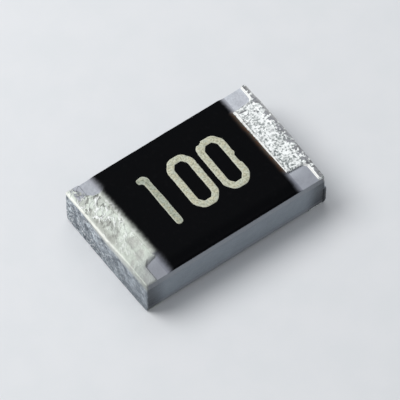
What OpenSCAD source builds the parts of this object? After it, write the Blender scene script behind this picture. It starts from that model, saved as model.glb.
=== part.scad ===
// Thick-film chip resistor of the 2.0 x 1.25 mm size, with every printed, fired and
// plated layer as its own solid. X runs along the chip as its marking reads, Y across
// it, and Z up. The origin is the middle of the soldering face. Units are millimetres.

/* [Chip] */
// Length over the plated ends
chip_length = 2; // [1.8:0.05:2.2]
// Width of the ceramic plate
chip_width = 1.25; // [1.15:0.05:1.4]

/* [Ceramic plate] */
// Thickness of the alumina
ceramic_thickness = 0.42; // [0.3:0.01:0.6]
// Depth of the scored flank left along each snapped edge
score_depth = 0.06; // [0.03:0.01:0.1]
// How far a scored flank has leant in by the time it meets the face
score_lean = 0.01; // [0.006:0.001:0.02]

/* [Printed electrodes] */
// Thickness of a fired silver electrode
electrode_thickness = 0.01; // [0.006:0.001:0.016]
// Bare ceramic beside a top electrode, averaged over its two sides
top_inset = 0.23; // [0.2:0.005:0.3]
// Bare ceramic beside a bottom electrode
bottom_inset = 0.12; // [0.05:0.005:0.2]
// How far the top prints sit off the centre line, towards the far long edge
print_offset = 0.02; // [-0.05:0.005:0.06]
// How far a top electrode runs on under the black coat
electrode_tuck = 0.19; // [0.18:0.005:0.24]
// Corner radius of every printed layer
print_corner = 0.03; // [0.01:0.005:0.05]

/* [Terminals] */
// Metal showing on top of the left end
left_terminal = 0.28; // [0.22:0.01:0.36]
// Metal showing on top of the right end
right_terminal = 0.265; // [0.22:0.005:0.36]
// Length of the soldering face at each end
bottom_terminal = 0.4; // [0.3:0.01:0.5]
// Thickness of the sputtered end film
end_film_thickness = 0.003; // [0.002:0.001:0.006]
// How far the left end film laps onto the top face
left_lap = 0.08; // [0.004:0.004:0.12]
// How far the right end film laps onto the top face
right_lap = 0.016; // [0.004:0.004:0.12]
// How far each end film laps onto the underside
bottom_lap = 0.15; // [0.05:0.01:0.2]
// Thickness of the nickel barrier
nickel_thickness = 0.006; // [0.003:0.001:0.009]
// Thickness of the tin
tin_thickness = 0.009; // [0.004:0.001:0.012]

/* [Resistive film] */
// Thickness of the resistive film
film_thickness = 0.01; // [0.006:0.001:0.015]
// How far the film climbs onto each electrode
film_lap = 0.08; // [0.05:0.005:0.09]
// How far the film's long edges stand in from the electrodes' sides
film_step = 0.02; // [0:0.005:0.06]

/* [Laser trim] */
// Width of the laser's cut
kerf_width = 0.03; // [0.02:0.005:0.05]
// Depth of the laser's bite into the ceramic
kerf_bite = 0.008; // [0.002:0.001:0.015]
// Place of the plunge along the chip, from the middle of the film
plunge_place = -0.18; // [-0.3:0.02:0.06]
// Length of the plunge, from the film's near edge
plunge_length = 0.36; // [0.2:0.01:0.5]
// Length of the leg that turns along the film
leg_length = 0.24; // [0.1:0.01:0.34]
// How far off the film the laser starts
kerf_run_in = 0.05; // [0.02:0.005:0.08]

/* [Coats] */
// Thickness of the glass undercoat where it lies over an electrode
glass_thickness = 0.008; // [0.004:0.001:0.012]
// How far the glass reaches past the film's edges
glass_margin = 0.03; // [0.01:0.005:0.035]
// Thickness of the black coat over the glass
coat_thickness = 0.02; // [0.014:0.001:0.028]
// Length over which the black coat's ends round off
coat_edge_run = 0.06; // [0.05:0.005:0.07]

/* [Marking] */
// Thickness of the ink
ink_thickness = 0.006; // [0.003:0.001:0.01]
// Place of the middle numeral along the chip
marking_place = -0.02; // [-0.05:0.005:0.05]
// Height of a numeral
digit_height = 0.62; // [0.5:0.005:0.7]
// Width of a zero
digit_width = 0.295; // [0.26:0.005:0.32]
// Width of a numeral's stroke
digit_stroke = 0.078; // [0.05:0.002:0.1]
// Distance from one numeral's middle to the next
digit_pitch = 0.346; // [0.34:0.002:0.38]
// Outside corner radius of a zero
digit_corner = 0.12; // [0.11:0.005:0.125]
// How far the flag of the one reaches out
flag_reach = 0.056; // [0.03:0.002:0.08]

/* [Hidden] */
$fn = 64;

// The two ends, as the sign of X there
LEFT = -1;
RIGHT = 1;

// Build-up outside the ceramic at an end, and the ceramic that leaves
plating = nickel_thickness + tin_thickness;
end_build = end_film_thickness + plating;
ceramic_length = chip_length - 2 * end_build;
half_ceramic = ceramic_thickness / 2;

// Heights of the ceramic's middle and of its top face
mid_z = electrode_thickness + end_build + half_ceramic;
face_z = mid_z + half_ceramic;

// Heights of the coats above that face
glass_level = electrode_thickness + film_thickness + glass_thickness;
coat_height = glass_level + coat_thickness;

// The ceramic's faces stop short of its ends and sides by the scored lean
face_end = ceramic_length / 2 - score_lean;
face_side = chip_width / 2 - score_lean;

// The black coat spans what the two top terminals leave, and the prints centre on it
coat_start = left_terminal - chip_length / 2;
coat_end = chip_length / 2 - right_terminal;
print_mid = (coat_start + coat_end) / 2;
electrode_gap = coat_end - coat_start - 2 * electrode_tuck;

// Plan sizes of the prints
top_pad_width = chip_width - 2 * top_inset;
bottom_pad_width = chip_width - 2 * bottom_inset;
film_length = electrode_gap + 2 * film_lap;
film_width = top_pad_width - 2 * film_step;
film_near_edge = print_offset - film_width / 2;

// ---- Helpers ----

// Extrudes an XZ profile across the chip, from y0 to y1.
module across(y0, y1) {
    translate([0, y1, 0]) rotate([90, 0, 0]) linear_extrude(height = y1 - y0) children();
}

// Extrudes a YZ profile along the chip, from x0 to x1.
module along(x0, x1) {
    translate([x0, 0, 0]) rotate([90, 0, 90]) linear_extrude(height = x1 - x0) children();
}

// A rectangle with rounded corners, centred on the origin.
module rounded_rect(length, width, radius) {
    square([length, width - 2 * radius], center = true);
    square([length - 2 * radius, width], center = true);
    for (x = [-1, 1], y = [-1, 1])
        translate([x * (length / 2 - radius), y * (width / 2 - radius)]) circle(radius);
}

// A patch printed from the ceramic's top face upwards, centred on the prints.
module print_patch(length, width, thickness) {
    translate([print_mid, print_offset, face_z])
        linear_extrude(height = thickness) rounded_rect(length, width, print_corner);
}

// An electrode in plan: rounded at its inner end, square where it meets the chip's end.
module electrode_plan(side, length, width) {
    translate([side * (face_end - length / 2), 0]) rounded_rect(length, width, print_corner);
    translate([side * (face_end - print_corner), 0])
        square([2 * print_corner, width], center = true);
}

// Section of the snapped plate: upright faces, with a leaning scored flank at each corner.
module snapped_section(half_size) {
    face = half_size - score_lean;
    snap = half_ceramic - score_depth;
    polygon([
        [-face, -half_ceramic], [face, -half_ceramic], [half_size, -snap], [half_size, snap],
        [face, half_ceramic], [-face, half_ceramic], [-half_size, snap], [-half_size, -snap]
    ]);
}

// Puts its children at one end: local X runs inwards from the ceramic's end face, and
// local Z is measured from the middle of the ceramic.
module at_end(side) {
    translate([side * ceramic_length / 2, 0, mid_z])
        if (side < 0) children();
        else mirror([1, 0, 0]) children();
}

// ---- Shapes that several layers share ----

// The plate's section along the chip, run out past both of its sides.
module ceramic_run() {
    translate([0, 0, mid_z])
        across(-chip_width, chip_width) snapped_section(ceramic_length / 2);
}

module top_electrode(side) {
    length = face_end - side * print_mid - electrode_gap / 2;
    translate([0, print_offset, face_z])
        linear_extrude(height = electrode_thickness)
            electrode_plan(side, length, top_pad_width);
}

module bottom_electrode(side) {
    length = bottom_terminal - end_build - plating - score_lean;
    translate([0, 0, mid_z - half_ceramic - electrode_thickness])
        linear_extrude(height = electrode_thickness)
            electrode_plan(side, length, bottom_pad_width);
}

// Everything under the resistive film's surface, which steps down between the electrodes.
module film_envelope() {
    level_length = electrode_gap - 2 * film_thickness;
    difference() {
        print_patch(film_length, film_width, electrode_thickness + film_thickness);
        translate([print_mid - level_length / 2, print_offset - film_width,
                   face_z + film_thickness])
            cube([level_length, 2 * film_width, electrode_thickness + film_thickness]);
    }
}

// Everything under the glass's level top: the film, the glass and what they step over.
module glass_envelope() {
    print_patch(film_length + 2 * glass_margin, film_width + 2 * glass_margin, glass_level);
}

// The path of the trimming laser, from below the ceramic's face up to within the coat.
module kerf() {
    turn_y = film_near_edge + plunge_length;
    start_y = film_near_edge - kerf_run_in;
    translate([print_mid + plunge_place, 0, face_z - kerf_bite])
        linear_extrude(height = kerf_bite + glass_level + coat_thickness / 2) {
            translate([-kerf_width / 2, start_y]) square([kerf_width, turn_y - start_y]);
            translate([0, turn_y - kerf_width / 2]) square([leg_length, kerf_width]);
            for (spot = [[0, start_y], [0, turn_y], [leg_length, turn_y]])
                translate(spot) circle(kerf_width / 2);
        }
}

// Everything inside the black coat's outer surface: a flat top, rounded off at both ends.
module coat_envelope() {
    radius = (pow(coat_edge_run, 2) + pow(coat_height, 2)) / (2 * coat_height);
    flat_start = coat_start + coat_edge_run;
    flat_end = coat_end - coat_edge_run;
    translate([0, 0, face_z]) across(-face_side, face_side) {
        translate([flat_start, 0]) square([flat_end - flat_start, coat_height]);
        for (x = [flat_start, flat_end])
            intersection() {
                translate([x, coat_height - radius]) circle(radius);
                translate([x - coat_edge_run, 0]) square([2 * coat_edge_run, coat_height]);
            }
    }
}

// Outline of metal `grow` thick folded round the upper scored edge of an end. It reaches
// `lap` along the face, which lies `lift` above the bare ceramic.
module fold_profile(grow, lap, lift) {
    level = half_ceramic + lift;
    translate([-grow, 0]) square([score_lean + lap + grow, level - score_lean]);
    translate([score_lean, 0]) square([lap, level + grow]);
    translate([score_lean, level - score_lean]) intersection() {
        circle(score_lean + grow);
        translate([-score_lean - grow, -score_lean - grow])
            square([score_lean + grow, 2 * (score_lean + grow)]);
    }
}

// Upper half of a cap: `side_y` either way over the bare ceramic, and raised over a pad.
module half_cap(grow, lap, pad_y, pad_width, side_y) {
    reach = pad_width / 2 + grow;
    across(-side_y, side_y) fold_profile(grow, lap, 0);
    across(pad_y - reach, pad_y + reach) fold_profile(grow, lap, electrode_thickness);
}

// Everything inside the end film with `plate` of plating over it. Metal stops at the
// face's side edges; a cap that is cut away from another runs on past them.
module end_cap(side, plate, side_y = face_side) {
    grow = end_film_thickness + plate;
    top_lap = side < 0 ? left_lap : right_lap;
    at_end(side) {
        half_cap(grow, top_lap + plate, print_offset, top_pad_width, side_y);
        mirror([0, 0, 1])
            half_cap(grow, bottom_lap + plate, 0, bottom_pad_width, side_y);
        along(-grow, score_lean)
            intersection() {
                snapped_section(chip_width / 2);
                square([chip_width, ceramic_thickness - 2 * score_lean], center = true);
            }
    }
}

// A printed pad with `plate` of plating over it, from the fold to `reach` inwards.
module plated_pad(plate, reach, pad_y, pad_width) {
    translate([score_lean, pad_y - pad_width / 2 - plate, 0])
        cube([reach - score_lean, pad_width + 2 * plate,
              half_ceramic + electrode_thickness + plate]);
}

// Everything inside the metal of one end, with `plate` of plating on it. On top the pad
// runs on to where the coat is flat, for the coat to cut off.
module plated_end(side, plate, side_y = face_side) {
    terminal = side < 0 ? left_terminal : right_terminal;
    top_reach = terminal - end_build + coat_edge_run;
    bottom_reach = bottom_terminal - end_build - plating + plate;
    end_cap(side, plate, side_y);
    at_end(side) {
        plated_pad(plate, top_reach, print_offset, top_pad_width);
        mirror([0, 0, 1]) plated_pad(plate, bottom_reach, 0, bottom_pad_width);
    }
}

// ---- Layers of an end, from the inside out ----

module end_film(side) {
    color("darkgray") difference() {
        end_cap(side, 0);
        ceramic_run();
        top_electrode(side);
        bottom_electrode(side);
    }
}

module nickel_barrier(side) {
    color("silver") difference() {
        plated_end(side, nickel_thickness);
        end_cap(side, 0, chip_width);
        ceramic_run();
        top_electrode(side);
        bottom_electrode(side);
        coat_envelope();
    }
}

module tin_plating(side) {
    color("gainsboro") difference() {
        plated_end(side, plating);
        plated_end(side, nickel_thickness, chip_width);
        ceramic_run();
        coat_envelope();
    }
}

// ---- Nodes ----

module ceramic_substrate() {
    color("whitesmoke") difference() {
        intersection() {
            ceramic_run();
            translate([0, 0, mid_z])
                along(-chip_length / 2, chip_length / 2) snapped_section(chip_width / 2);
        }
        kerf();
    }
}

module top_electrode_left() { color("lightgray") top_electrode(LEFT); }

module top_electrode_right() { color("lightgray") top_electrode(RIGHT); }

module bottom_electrode_left() { color("lightgray") bottom_electrode(LEFT); }

module bottom_electrode_right() { color("lightgray") bottom_electrode(RIGHT); }

module resistive_film() {
    color("dimgray") difference() {
        film_envelope();
        top_electrode(LEFT);
        top_electrode(RIGHT);
        kerf();
    }
}

module glass_undercoat() {
    color("darkseagreen") difference() {
        glass_envelope();
        film_envelope();
        top_electrode(LEFT);
        top_electrode(RIGHT);
        kerf();
    }
}

// The black coat also runs down into the laser's cut.
module black_overcoat() {
    color("black") {
        difference() {
            coat_envelope();
            glass_envelope();
            top_electrode(LEFT);
            top_electrode(RIGHT);
        }
        kerf();
    }
}

module digit_one() {
    half = digit_stroke / 2;
    foot = half - digit_height / 2;
    translate([0, foot]) circle(half);
    translate([-half, foot]) square([digit_stroke, digit_height - half]);
    translate([-half, digit_height / 2])
        polygon([
            [0, 0], [-flag_reach * 0.6, 0], [-flag_reach, -flag_reach / 2],
            [-flag_reach * 0.7, -flag_reach], [0, -flag_reach * 1.6]
        ]);
}

module digit_zero() {
    difference() {
        rounded_rect(digit_width, digit_height, digit_corner);
        rounded_rect(digit_width - 2 * digit_stroke, digit_height - 2 * digit_stroke,
                     digit_corner - digit_stroke);
    }
}

module value_marking() {
    color("beige") translate([marking_place, print_offset, face_z + coat_height])
        linear_extrude(height = ink_thickness) {
            translate([-digit_pitch, 0]) digit_one();
            digit_zero();
            translate([digit_pitch, 0]) digit_zero();
        }
}

module end_film_left() { end_film(LEFT); }

module end_film_right() { end_film(RIGHT); }

module nickel_barrier_left() { nickel_barrier(LEFT); }

module nickel_barrier_right() { nickel_barrier(RIGHT); }

module tin_plating_left() { tin_plating(LEFT); }

module tin_plating_right() { tin_plating(RIGHT); }

ceramic_substrate();
top_electrode_left();
top_electrode_right();
bottom_electrode_left();
bottom_electrode_right();
resistive_film();
glass_undercoat();
black_overcoat();
value_marking();
end_film_left();
end_film_right();
nickel_barrier_left();
nickel_barrier_right();
tin_plating_left();
tin_plating_right();
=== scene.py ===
"""Looks for a thick-film chip resistor of the 2.0 x 1.25 mm size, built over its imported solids.

Lengths here are millimetres in the part's own frame: +X along the chip as the marking reads,
+Y up the marking, +Z out of the board. piece() turns them into metres. "Near" is the long edge
at -Y, and "far" the one at +Y. A place "inward" is measured from the chip's end.
"""

import math
from dataclasses import dataclass
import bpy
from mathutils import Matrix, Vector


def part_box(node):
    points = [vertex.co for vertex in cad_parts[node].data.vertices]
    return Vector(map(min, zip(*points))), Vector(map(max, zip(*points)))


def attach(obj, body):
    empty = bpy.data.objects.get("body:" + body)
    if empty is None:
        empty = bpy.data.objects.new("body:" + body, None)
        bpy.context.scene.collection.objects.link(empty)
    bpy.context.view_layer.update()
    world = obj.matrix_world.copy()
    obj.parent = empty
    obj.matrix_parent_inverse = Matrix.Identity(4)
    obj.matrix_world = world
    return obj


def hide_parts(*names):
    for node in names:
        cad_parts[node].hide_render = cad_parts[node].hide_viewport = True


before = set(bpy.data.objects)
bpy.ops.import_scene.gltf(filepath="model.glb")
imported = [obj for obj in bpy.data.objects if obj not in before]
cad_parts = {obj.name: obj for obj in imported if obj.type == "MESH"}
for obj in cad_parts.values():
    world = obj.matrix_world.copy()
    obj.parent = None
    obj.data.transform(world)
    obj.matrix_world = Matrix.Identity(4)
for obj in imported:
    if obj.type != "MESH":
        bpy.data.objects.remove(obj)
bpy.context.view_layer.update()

from types import SimpleNamespace

import bpy
import numpy as np
from mathutils import Matrix, Vector

MM = 0.001


def corners(node):
    """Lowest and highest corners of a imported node, in millimetres."""
    low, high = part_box(node)
    return np.array(low) / MM, np.array(high) / MM


CERAMIC_LOW, CERAMIC_HIGH = corners("ceramic_substrate")
INK_LOW, INK_HIGH = corners("value_marking")
TIN_LOW, TIN_HIGH = corners("tin_plating_left")
PAD_LOW, PAD_HIGH = corners("top_electrode_left")
SOLE_LOW, SOLE_HIGH = corners("bottom_electrode_left")

# The chip's end, the ceramic's side, and the edges of its top face
CHIP_END = corners("tin_plating_right")[1][0]
CHIP_SIDE = CERAMIC_HIGH[1]
FACE_SIDE = corners("black_overcoat")[1][1]
FACE_Z = CERAMIC_HIGH[2]
MID_Z = (CERAMIC_LOW[2] + FACE_Z) / 2
COAT_Z = corners("black_overcoat")[1][2]

# Thicknesses: the tin, the end film, nickel and tin together, and all of the metal at an end
TIN_THICK = corners("nickel_barrier_left")[0][2] - TIN_LOW[2]
FILM_THICK = corners("end_film_left")[1][2] - PAD_HIGH[2]
PLATING = SOLE_LOW[2] - FILM_THICK - TIN_LOW[2]
END_BUILD = CHIP_END - CERAMIC_HIGH[0]

# How deep the laser scored the plate before it was snapped, and the height of what is between
SCORE_DEPTH = 0.06
SNAP_HALF = FACE_Z - MID_Z - SCORE_DEPTH


# ---------------------------------------- numbers and meshes

LATTICE = 32  # cells after which a random field repeats
LATTICE_SHIFT = 1000.5  # cells from the lattice's corner to the part's origin


def smooth(start, end, x):
    """0 before start, 1 after end, and a level-ended S between them."""
    t = np.clip((x - start) / (end - start), 0, 1)
    return t * t * (3 - 2 * t)


def quarter_round(x):
    """A quarter circle's rise, steep from 0 at 0 and level at 1 from 1 on."""
    return np.sqrt(np.clip(1 - (1 - np.clip(x, 0, 1)) ** 2, 0, 1))


def lumps(x, y, z, cell, seed):
    """Smooth random field from -1 to 1: corner values of a cubic lattice, blended by S-curves."""
    x, y, z = np.broadcast_arrays(x, y, z)
    table = np.random.default_rng(seed).uniform(-1, 1, (LATTICE, LATTICE, LATTICE))
    spot = np.stack([x, y, z], -1) / cell + LATTICE_SHIFT
    low = np.floor(spot).astype(int)
    part = spot - low
    part = part * part * (3 - 2 * part)
    total = np.zeros(x.shape)
    for corner in np.ndindex(2, 2, 2):
        step = np.array(corner)
        weight = np.prod(np.where(step, part, 1 - part), -1)
        i, j, k = np.moveaxis((low + step) % LATTICE, -1, 0)
        total += weight * table[i, j, k]
    return total


def crumbs(x, y, z, cell, seed):
    """Three octaves of lumps, each half as large and half as strong as the last."""
    octaves = (lumps(x, y, z, cell / 2**n, seed + n) / 2**n for n in range(3))
    return sum(octaves) / (1 + 1 / 2 + 1 / 4)


def normals(points):
    """Unit normals of a grid of points, from the cross product of its two tangents."""
    along, over = np.gradient(points, axis=0), np.gradient(points, axis=1)
    n = np.cross(along, over)
    return n / np.maximum(np.linalg.norm(n, axis=-1, keepdims=True), 1e-12)


def sleeve(outer, inner):
    """Closed shell from two grids of one shape: out along the rows of one, back along the other.

    Columns join round that loop, and the first and last columns are capped.
    """
    grid = np.concatenate([outer, inner[::-1]])
    rows, cols = grid.shape[:2]
    index = np.arange(rows * cols).reshape(rows, cols)
    below = np.roll(index, -1, axis=0)
    sides = np.stack([index[:, :-1], below[:, :-1], below[:, 1:], index[:, 1:]], -1)
    front, back = index[:len(outer)], index[len(outer):][::-1]
    caps = [
        np.stack([front[:-1, c], back[:-1, c], back[1:, c], front[1:, c]], -1)[:, ::way]
        for c, way in ((0, 1), (-1, -1))
    ]
    return grid.reshape(-1, 3), np.concatenate([sides.reshape(-1, 4), *caps])


def twice(shade):
    """A skin's shade for both its surfaces, in the order of sleeve()'s points."""
    return np.concatenate([shade, shade[::-1]])


def turned_out(verts, faces):
    """The faces, reversed if the closed mesh they make has a negative volume."""
    a, b, c, d = (verts[faces[:, k]] for k in range(4))
    volume = np.sum(np.cross(a, b) * c) + np.sum(np.cross(a, c) * d)
    return faces if volume > 0 else faces[:, ::-1]


def piece(name, verts, faces, material, stands_for, slot, **shades):
    """A mesh object from points in millimetres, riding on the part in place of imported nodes,
    with one number a point in each named attribute."""
    mesh = bpy.data.meshes.new(name)
    mesh.from_pydata((verts * MM).tolist(), [], turned_out(verts, faces).tolist())
    mesh.polygons.foreach_set("use_smooth", np.ones(len(mesh.polygons), bool))
    for label, values in shades.items():
        layer = mesh.attributes.new(label, "FLOAT", "POINT")
        layer.data.foreach_set("value", np.ravel(values).astype(np.float32))
    mesh.materials.append(material)
    mesh.update()
    obj = bpy.data.objects.new(name, mesh)
    bpy.context.collection.objects.link(obj)
    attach(obj, "root")
    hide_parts(*stands_for)
    return obj


# ---------------------------------------- shader expressions


class Wave:
    """A shader socket that can be written in expressions."""

    def __init__(self, paint, socket):
        self.paint = paint
        self.socket = socket

    def _math(self, operation, *values):
        node = self.paint.put("ShaderNodeMath", {"operation": operation}, dict(enumerate(values)))
        return Wave(self.paint, node.outputs[0])

    def __add__(self, other):
        return self._math("ADD", self, other)

    def __sub__(self, other):
        return self._math("SUBTRACT", self, other)

    def __rsub__(self, other):
        return self._math("SUBTRACT", other, self)

    def __mul__(self, other):
        return self._math("MULTIPLY", self, other)

    def __pow__(self, other):
        return self._math("POWER", self, other)

    __radd__ = __add__
    __rmul__ = __mul__

    def away(self, level):
        """How far it is from a level, either way."""
        return self._math("ABSOLUTE", self - level)

    def band(self, start, end):
        """0 before start, 1 after end, with a level-ended S between them."""
        settings = {"interpolation_type": "SMOOTHSTEP"}
        sockets = {"Value": self, "From Min": start, "From Max": end}
        node = self.paint.put("ShaderNodeMapRange", settings, sockets)
        return Wave(self.paint, node.outputs[0])


class Paint:
    """A material whose nodes are put down one call at a time."""

    def __init__(self, name, **constants):
        self.material = bpy.data.materials.new(name)
        self.material.use_nodes = True
        self.tree = self.material.node_tree
        self.shader = self.tree.nodes["Principled BSDF"]
        for label, value in constants.items():
            self.shader.inputs[label.replace("_", " ")].default_value = value
        self.place = self.put("ShaderNodeTexCoord").outputs["Object"]

    def put(self, kind, settings=None, sockets=None):
        """Adds a node: its settings first, then a value or a link for each named socket."""
        node = self.tree.nodes.new(kind)
        for label, value in (settings or {}).items():
            setattr(node, label, value)
        for label, value in (sockets or {}).items():
            self.feed(node.inputs[label], value)
        return node

    def feed(self, socket, value):
        """Links a wave or a socket, or sets a plain value."""
        if isinstance(value, Wave):
            value = value.socket
        if isinstance(value, bpy.types.NodeSocket):
            self.tree.links.new(value, socket)
        else:
            socket.default_value = value

    def noise(self, grain, detail=2.0, rough=0.5, place=None, warp=0.0):
        """Noise whose lumps are `grain` millimetres across, from about 0.3 to 0.7, and which
        curls into streaks as it warps."""
        sockets = {
            "Vector": place or self.place, "Scale": 1 / (grain * MM), "Detail": detail,
            "Roughness": rough, "Distortion": warp,
        }
        return Wave(self, self.put("ShaderNodeTexNoise", None, sockets).outputs["Fac"])

    def cells(self, grain):
        """Distance to the nearest seed of cells `grain` millimetres across."""
        sockets = {"Vector": self.place, "Scale": 1 / (grain * MM)}
        return Wave(self, self.put("ShaderNodeTexVoronoi", None, sockets).outputs["Distance"])

    def stretch(self, factors):
        """The object's coordinates with each axis multiplied."""
        sockets = {0: self.place, 1: factors}
        return self.put("ShaderNodeVectorMath", {"operation": "MULTIPLY"}, sockets).outputs[0]

    def slant(self, degrees, factor):
        """The object's coordinates turned about Z, so that X runs `degrees` round from +X, and
        then multiplied along it."""
        turn, scale = (0.0, 0.0, math.radians(degrees)), (1 / factor, 1.0, 1.0)
        sockets = {"Vector": self.place, "Rotation": turn, "Scale": scale}
        node = self.put("ShaderNodeMapping", {"vector_type": "TEXTURE"}, sockets)
        return node.outputs["Vector"]

    def axis(self, k):
        """Place along X, Y or Z in millimetres."""
        node = self.put("ShaderNodeSeparateXYZ", None, {0: self.place})
        return Wave(self, node.outputs[k]) * (1 / MM)

    def shade(self, label):
        """One of the piece's own numbers."""
        node = self.put("ShaderNodeAttribute", {"attribute_name": label})
        return Wave(self, node.outputs["Fac"])

    def blend(self, amount, first, second):
        """Colour that goes from the first to the second as amount goes from 0 to 1."""
        # A Mix node's sockets 0, 6 and 7 are its factor and its two colours
        sockets = {0: amount, 6: colour(first), 7: colour(second)}
        return self.put("ShaderNodeMix", {"data_type": "RGBA"}, sockets).outputs[2]

    def relief(self, height, depth):
        """Bumps `depth` millimetres deep."""
        node = self.put("ShaderNodeBump", None, {"Height": height, "Distance": depth * MM})
        self.feed(self.shader.inputs["Normal"], node.outputs["Normal"])

    def set(self, **varying):
        """Links what changes over the surface to the shader."""
        for label, value in varying.items():
            self.feed(self.shader.inputs[label.replace("_", " ")], value)
        return self.material


def colour(value):
    """Three numbers as an opaque colour, and anything else as it is."""
    return (*value, 1.0) if isinstance(value, tuple) and len(value) == 3 else value


# ---------------------------------------- finishes


def tin_finish(p, top_tone, burnish_and_highlight, relief, depth):
    """Matte tin, from the colour of its top, the colour of its burnished edges with their painted
    highlight, and its relief.

    The piece's own numbers place what wear, plating and painted light left: `edge` is burnished
    with a painted highlight, `face` the nodular end, `fold_shade` painted shade along the fold,
    `groove_shade` a painted shade line beside the pad's lip and `foot_edge` the shaded foot. `wash`
    up to 1 is flecked tin on ceramic, and at 2 bare ceramic. `near_side_shade` is painted shade
    towards the near side.
    """
    edge, face, wash, fold_shade_amount = (p.shade(label) for label in ("edge", "face", "wash", "fold_shade"))
    broad = p.noise(0.12, detail=1.0)
    nodule = p.noise(0.045, detail=4.0, rough=0.65)
    cloudy = p.noise(0.11, detail=3.0, rough=0.6).band(0.38, 0.62)
    far = p.axis(1).band(-0.5, 0.5)
    foot = p.axis(2).band(0.22, 0.10)

    # Painted glints: small near-white spots with less metal on the end face, most on its far half
    # and low down
    glint = p.noise(0.017, detail=1.0).band(0.60, 0.65) * broad.band(0.36, 0.50) * face
    glint = glint * (0.15 + 0.85 * far) * (0.65 + 0.35 * foot)
    lively = 0.35 + 0.65 * far
    end_tone = p.blend(cloudy, (0.25, 0.28, 0.31), (0.42, 0.46, 0.50))
    end_tone = p.blend(nodule.band(0.50, 0.66) * lively, end_tone, (0.11, 0.13, 0.155))
    end_tone = p.blend(nodule.band(0.50, 0.34) * lively, end_tone, (0.82, 0.88, 0.91))
    # Painted shade: the end face darker towards its bottom
    end_tone = p.blend(p.axis(2).band(0.30, 0.02) * 0.35, end_tone, (0.16, 0.18, 0.20))
    end_tone = p.blend(glint, end_tone, (0.95, 0.95, 0.95))

    # Painted shade: a mottled grey band along the fold
    fold_shade = (p.noise(0.035, detail=2.5, rough=0.6) + fold_shade_amount * 0.14).band(0.560, 0.600)
    fold_shade_tone = p.blend(cloudy, (0.13, 0.13, 0.135), (0.22, 0.225, 0.245))
    tone = p.blend(fold_shade * fold_shade_amount.band(0.0, 0.1) * 0.9, top_tone, fold_shade_tone)
    tone = p.blend(face, tone, end_tone)
    # Painted shade: a dark line beside the pad's lip
    tone = p.blend(p.shade("groove_shade") * 0.85, tone, (0.12, 0.12, 0.11))
    tone = p.blend(p.shade("foot_edge") * 0.9, tone, (0.06, 0.065, 0.07))

    cleared = wash.band(1.0, 2.0)
    bare = wash.band(0.0, 1.0) * (1 - p.noise(0.034, detail=2.0).band(0.49, 0.54))
    bare = bare + (1 - bare) * cleared
    stain = p.blend(nodule.band(0.4, 0.6), (0.17, 0.18, 0.20), (0.42, 0.43, 0.47))
    stain = p.blend(cleared, stain, (0.40, 0.415, 0.455))
    tone = p.blend(bare, tone, stain)
    # Painted shade on the top towards the near side, grey like the shaded ceramic there
    tone = p.blend(p.shade("near_side_shade") * 0.9, tone, (0.25, 0.255, 0.285))
    # Edges: burnish, with a painted highlight in their pale colour
    tone = p.blend(edge, tone, burnish_and_highlight)

    calm = (1 - edge * 0.9) * (1 - p.shade("near_side_shade") * 0.8)
    p.relief((relief + (nodule * 3.0 - relief) * face) * calm, depth)
    return p.set(
        Base_Color=tone,
        Metallic=(1 - bare) * (1 - edge) * (1 - glint) * (0.3 + 0.5 * face),
        Roughness=0.58 - edge * 0.22 - glint * 0.25,
    )


def foil_tone(p):
    """Colour and relief of cream tin: soft blotches all over, and foil-like slanting creases
    towards the far side with painted highlights along them. Painted shade lies along the fold and
    towards the near side."""
    across = p.axis(1)
    far = across.band(-0.20, 0.25)
    fine = p.noise(0.016, detail=2.0)
    broad = p.noise(0.15, detail=1.0)
    along = p.slant(45, 0.6)
    foil = p.noise(0.075, detail=3.0, rough=0.6, place=along, warp=0.15)
    crease = 1 - p.noise(0.070, detail=1.5, rough=0.5, place=along, warp=0.2).away(0.5) * 20.0
    crease = crease.band(0.0, 1.0) * (0.35 + 0.65 * far) * broad.band(0.40, 0.50)
    crack = p.noise(0.040, detail=2.0, rough=0.6, place=along, warp=0.2).band(0.57, 0.64)
    crack = crack * (0.15 + 0.85 * far)
    pale = p.blend(across.band(-0.25, 0.05), (0.58, 0.625, 0.56), (0.69, 0.74, 0.67))
    deep = p.blend(across.band(0.02, -0.20), (0.31, 0.315, 0.29), (0.46, 0.47, 0.435))
    tone = p.blend(foil.band(0.40, 0.56), deep, pale)
    tone = p.blend(broad.band(0.38, 0.60) * 0.45, tone, pale)
    tone = p.blend(fine.band(0.35, 0.65) * 0.25, tone, pale)
    tone = p.blend(crack * 0.8, tone, (0.17, 0.17, 0.16))
    # Painted shadow along the inside of the fold
    by_fold = p.axis(0).band(-0.90, -0.965) * (0.12 + 0.45 * across.away(0.08).band(0.32, 0.10))
    tone = p.blend(by_fold, tone, (0.29, 0.29, 0.26))
    # Painted highlights along the creases
    tone = p.blend(crease * 0.9, tone, (0.92, 0.94, 0.92))
    # Painted shade towards the near side
    tone = p.blend(across.band(-0.40, -0.60) * 0.35, tone, (0.21, 0.23, 0.22))
    return tone, fine * 0.6 + foil * 3.0 + crease * 1.5 - crack


def left_tin():
    """Cream, crumpled tin."""
    p = Paint("tin_left", IOR=1.5)
    tone, relief = foil_tone(p)
    return tin_finish(p, tone, (0.87, 0.88, 0.815), relief, 0.0032)


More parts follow.
